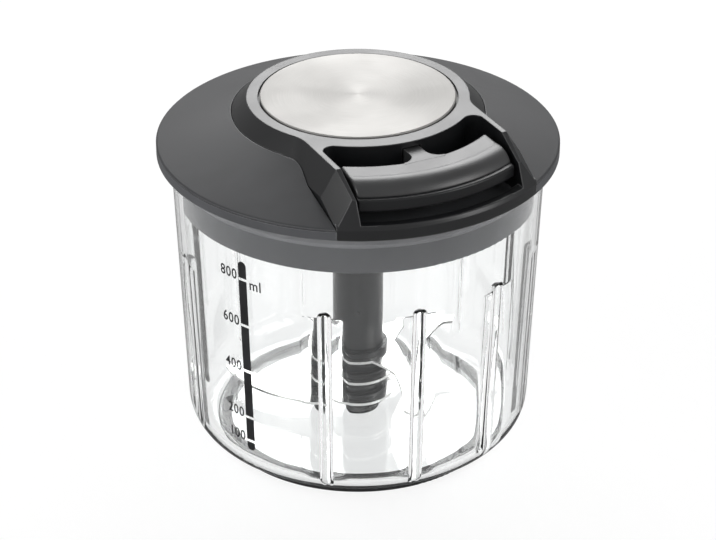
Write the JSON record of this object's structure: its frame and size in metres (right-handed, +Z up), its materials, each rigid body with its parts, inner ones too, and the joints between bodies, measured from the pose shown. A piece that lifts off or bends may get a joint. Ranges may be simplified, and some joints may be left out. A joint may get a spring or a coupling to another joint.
{
  "type": "pull-cord food chopper",
  "caption": "Clear conical bowl with a spinning blade column, under a wide lid whose T-shaped pull handle unwinds a sprung cord drum.",
  "frame": {"origin": "centre of the base ring's underside, on the bowl's axis", "axes": "+Z up along the blade column, the pull handle lies towards -Y"},
  "size_m": [0.1363, 0.1364, 0.1268],
  "materials": {
    "clear_plastic": "clear polished plastic with a printed black scale",
    "black_rubber": "matt black non-slip rubber",
    "black_plastic": "near-black satin plastic",
    "brim_plastic": "dark grey matt plastic",
    "lid_plastic": "dark grey satin plastic",
    "grip_plastic": "dark grey satin plastic",
    "brushed_steel": "radially brushed stainless steel",
    "bright_steel": "polished steel",
    "white_plastic": "natural acetal",
    "silicone": "grey silicone",
    "cord": "braided polyester cord",
    "spring_steel": "blue-grey spring steel"
  },
  "bodies": {
    "bowl": {"bowl": "clear_plastic", "base_ring": "black_rubber", "pivot_pin": "bright_steel"},
    "bush": {"blade_bush": "white_plastic"},
    "blades": {"blade_hub": "black_plastic", "blade_low": "bright_steel", "blade_mid": "bright_steel", "blade_high": "bright_steel"},
    "lid": {"lid_base": "lid_plastic", "seal_ring": "silicone", "housing": "grip_plastic", "brim_cover": "brim_plastic", "steel_disc": "brushed_steel", "lid_screws": "bright_steel", "spindle": "bright_steel", "drive_bush": "white_plastic", "thrust_washer": "bright_steel", "recoil_spring": "spring_steel", "cord_guide": "white_plastic"},
    "drum": {"cord_drum": "white_plastic", "wound_cord": "cord", "pawl_pins": "bright_steel"},
    "pawl_a": {"pawl_a": "bright_steel"},
    "pawl_b": {"pawl_b": "bright_steel"},
    "drive": {"drive_hub": "white_plastic", "drum_washer": "white_plastic"},
    "handle": {"handle_grip": "grip_plastic", "handle_base": "black_plastic", "handle_screws": "bright_steel", "cord_knot": "cord", "pull_cord": "cord"}
  },
  "joints": [
    {"name": "lid_lift", "type": "slide", "parent": "bowl", "child": "lid", "axis": [0, 0, 1], "range_m": [0, 0.24]},
    {"name": "handle_pull", "type": "slide", "parent": "lid", "child": "handle", "axis": [0, -1, 0], "range_m": [0, 0.3], "stiffness_N_per_m": 15, "springref_m": -0.2, "deforming": ["pull_cord"]},
    {"name": "drum_spin", "type": "hinge", "parent": "lid", "child": "drum", "pos_m": [0, 0, 0.117], "axis": [0, 0, -1], "range_deg": [0, 600]},
    {"name": "drive_spin", "type": "hinge", "parent": "lid", "child": "drive", "pos_m": [0, 0, 0.105], "axis": [0, 0, -1], "range_deg": [0, 600]},
    {"name": "blade_lift", "type": "slide", "parent": "bowl", "child": "bush", "axis": [0, 0, 1], "range_m": [0, 0.12]},
    {"name": "blade_spin", "type": "hinge", "parent": "bush", "child": "blades", "pos_m": [0, 0, 0.05], "axis": [0, 0, -1], "range_deg": [0, 600]},
    {"name": "pawl_a_swing", "type": "hinge", "parent": "drum", "child": "pawl_a", "pos_m": [0.01101, 0.01499, 0.1086], "axis": [0, 0, 1], "range_deg": [0, 12]},
    {"name": "pawl_b_swing", "type": "hinge", "parent": "drum", "child": "pawl_b", "pos_m": [-0.01101, -0.01499, 0.1086], "axis": [0, 0, 1], "range_deg": [0, 12]}
  ],
  "couplings": [
    {"joint": "drum_spin", "follows": "handle_pull", "rad_per_m": 34},
    {"joint": "drive_spin", "follows": "handle_pull", "rad_per_m": 34},
    {"joint": "blade_spin", "follows": "handle_pull", "rad_per_m": 34},
    {"joint": "blade_lift", "follows": "lid_lift", "ratio": 0.5}
  ]
}
